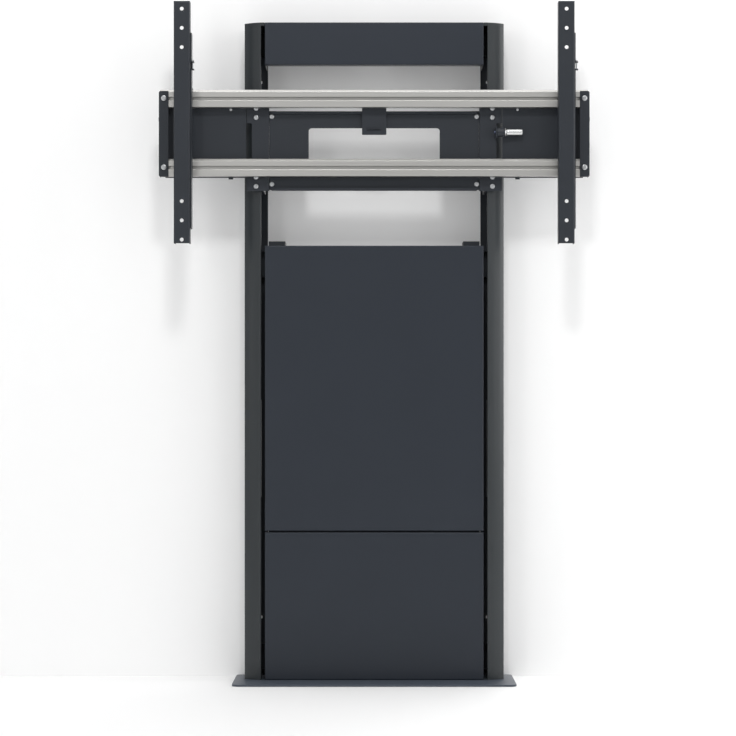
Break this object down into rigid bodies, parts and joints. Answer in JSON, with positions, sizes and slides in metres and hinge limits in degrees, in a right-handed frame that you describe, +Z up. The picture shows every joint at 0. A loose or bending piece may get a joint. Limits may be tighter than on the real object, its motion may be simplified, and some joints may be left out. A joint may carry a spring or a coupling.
{
  "type": "tv floor stand",
  "caption": "Motor-driven floor stand against a wall: columns on a base plate, a service door, and a lift carriage with slotted rails that carry upright display strips.",
  "frame": {"origin": "on the floor, in the middle of the base plate's footprint", "axes": "+Z up, +X to the right seen from the front, -Y out of the front towards the viewer; the wall plane is y = +0.125"},
  "size_m": [1.1312, 0.25, 1.7806],
  "materials": {
    "panel_coat": "fine matt anthracite powder coat",
    "column_coat": "satin anthracite coat on extruded aluminium",
    "frame_coat": "matt dark grey powder coat",
    "zinc_steel": "zinc plated steel",
    "rail_aluminium": "satin natural anodised extrusion",
    "ground_steel": "ground bearing steel",
    "nut_bronze": "turned bearing bronze",
    "motor_steel": "painted tube",
    "polished_steel": "polished turned steel",
    "black_plastic": "moulded black housing",
    "spring_clip": "blued spring steel"
  },
  "bodies": {
    "root": {"lower_panel": "panel_coat", "header_cover": "panel_coat", "base_plate": "panel_coat", "left_column_cover": "column_coat", "right_column_cover": "column_coat", "left_column_cap": "column_coat", "right_column_cap": "column_coat", "left_inner_post": "frame_coat", "right_inner_post": "frame_coat", "left_upright": "frame_coat", "right_upright": "frame_coat", "bottom_crossmember": "frame_coat", "middle_crossmember": "frame_coat", "top_crossmember": "frame_coat", "equipment_plate": "zinc_steel", "base_screws": "zinc_steel", "structure_screws": "zinc_steel", "cap_screws": "zinc_steel", "hinge_frame_leaves": "zinc_steel", "hinge_pins": "zinc_steel", "left_guide_rail": "ground_steel", "right_guide_rail": "ground_steel", "spindle_bearings": "ground_steel", "left_motor": "motor_steel", "right_motor": "motor_steel", "control_box": "black_plastic", "power_supply": "black_plastic", "limit_switches": "black_plastic", "door_magnets": "black_plastic", "panel_clips": "spring_clip"},
    "left_drive": {"left_spindle": "ground_steel"},
    "right_drive": {"right_spindle": "ground_steel"},
    "door": {"service_door": "panel_coat", "hinge_door_leaves": "zinc_steel", "door_strikes": "zinc_steel"},
    "lift": {"left_carriage_side": "frame_coat", "right_carriage_side": "frame_coat", "guide_blocks": "ground_steel", "spindle_nuts": "nut_bronze", "left_lift_bracket": "frame_coat", "right_lift_bracket": "frame_coat", "centre_pan": "frame_coat", "upper_rail": "rail_aluminium", "lower_rail": "rail_aluminium", "left_wing_plate": "frame_coat", "right_wing_plate": "frame_coat", "left_end_plate": "frame_coat", "right_end_plate": "frame_coat", "centre_bracket": "frame_coat", "frame_screws": "zinc_steel", "end_screws": "zinc_steel", "wing_screws": "zinc_steel", "plunger_housing": "frame_coat"},
    "left_carrier": {"left_hook_carrier": "frame_coat"},
    "right_carrier": {"right_hook_carrier": "frame_coat"},
    "left_display_strip": {"left_strip": "frame_coat"},
    "right_display_strip": {"right_strip": "frame_coat"},
    "left_leveller": {"left_level_screw": "zinc_steel"},
    "right_leveller": {"right_level_screw": "zinc_steel"},
    "plunger": {"locking_plunger": "polished_steel"}
  },
  "joints": [
    {"name": "lift_travel", "type": "slide", "parent": "root", "child": "lift", "axis": [0, 0, 1], "range_m": [-0.54, 0.11]},
    {"name": "service_door", "type": "hinge", "parent": "root", "child": "door", "pos_m": [-0.279, -0.0065, 0.775], "axis": [0, 0, -1], "range_deg": [0, 105]},
    {"name": "plunger_pull", "type": "slide", "parent": "lift", "child": "plunger", "axis": [1, 0, 0], "range_m": [0, 0.008], "stiffness_N_per_m": 800},
    {"name": "left_spindle_turn", "type": "hinge", "parent": "root", "child": "left_drive", "pos_m": [-0.317, 0.08, 1.2], "axis": [0, 0, 1], "continuous": true},
    {"name": "left_strip_shift", "type": "slide", "parent": "lift", "child": "left_carrier", "axis": [1, 0, 0], "range_m": [-0.013, 0.3]},
    {"name": "left_strip_level", "type": "slide", "parent": "left_carrier", "child": "left_display_strip", "axis": [0, 0, 1], "range_m": [-0.004, 0.004]},
    {"name": "left_level_turn", "type": "hinge", "parent": "left_carrier", "child": "left_leveller", "pos_m": [-0.4725, -0.09, 1.614], "axis": [0, 0, 1], "continuous": true},
    {"name": "right_spindle_turn", "type": "hinge", "parent": "root", "child": "right_drive", "pos_m": [0.317, 0.08, 1.2], "axis": [0, 0, 1], "continuous": true},
    {"name": "right_strip_shift", "type": "slide", "parent": "lift", "child": "right_carrier", "axis": [-1, 0, 0], "range_m": [-0.013, 0.3]},
    {"name": "right_strip_level", "type": "slide", "parent": "right_carrier", "child": "right_display_strip", "axis": [0, 0, 1], "range_m": [-0.004, 0.004]},
    {"name": "right_level_turn", "type": "hinge", "parent": "right_carrier", "child": "right_leveller", "pos_m": [0.5275, -0.09, 1.614], "axis": [0, 0, 1], "continuous": true}
  ],
  "couplings": [
    {"joint": "left_spindle_turn", "follows": "lift_travel", "rad_per_m": 314.16},
    {"joint": "left_level_turn", "follows": "left_strip_level", "rad_per_m": 7854},
    {"joint": "right_spindle_turn", "follows": "lift_travel", "rad_per_m": 314.16},
    {"joint": "right_level_turn", "follows": "right_strip_level", "rad_per_m": 7854}
  ]
}
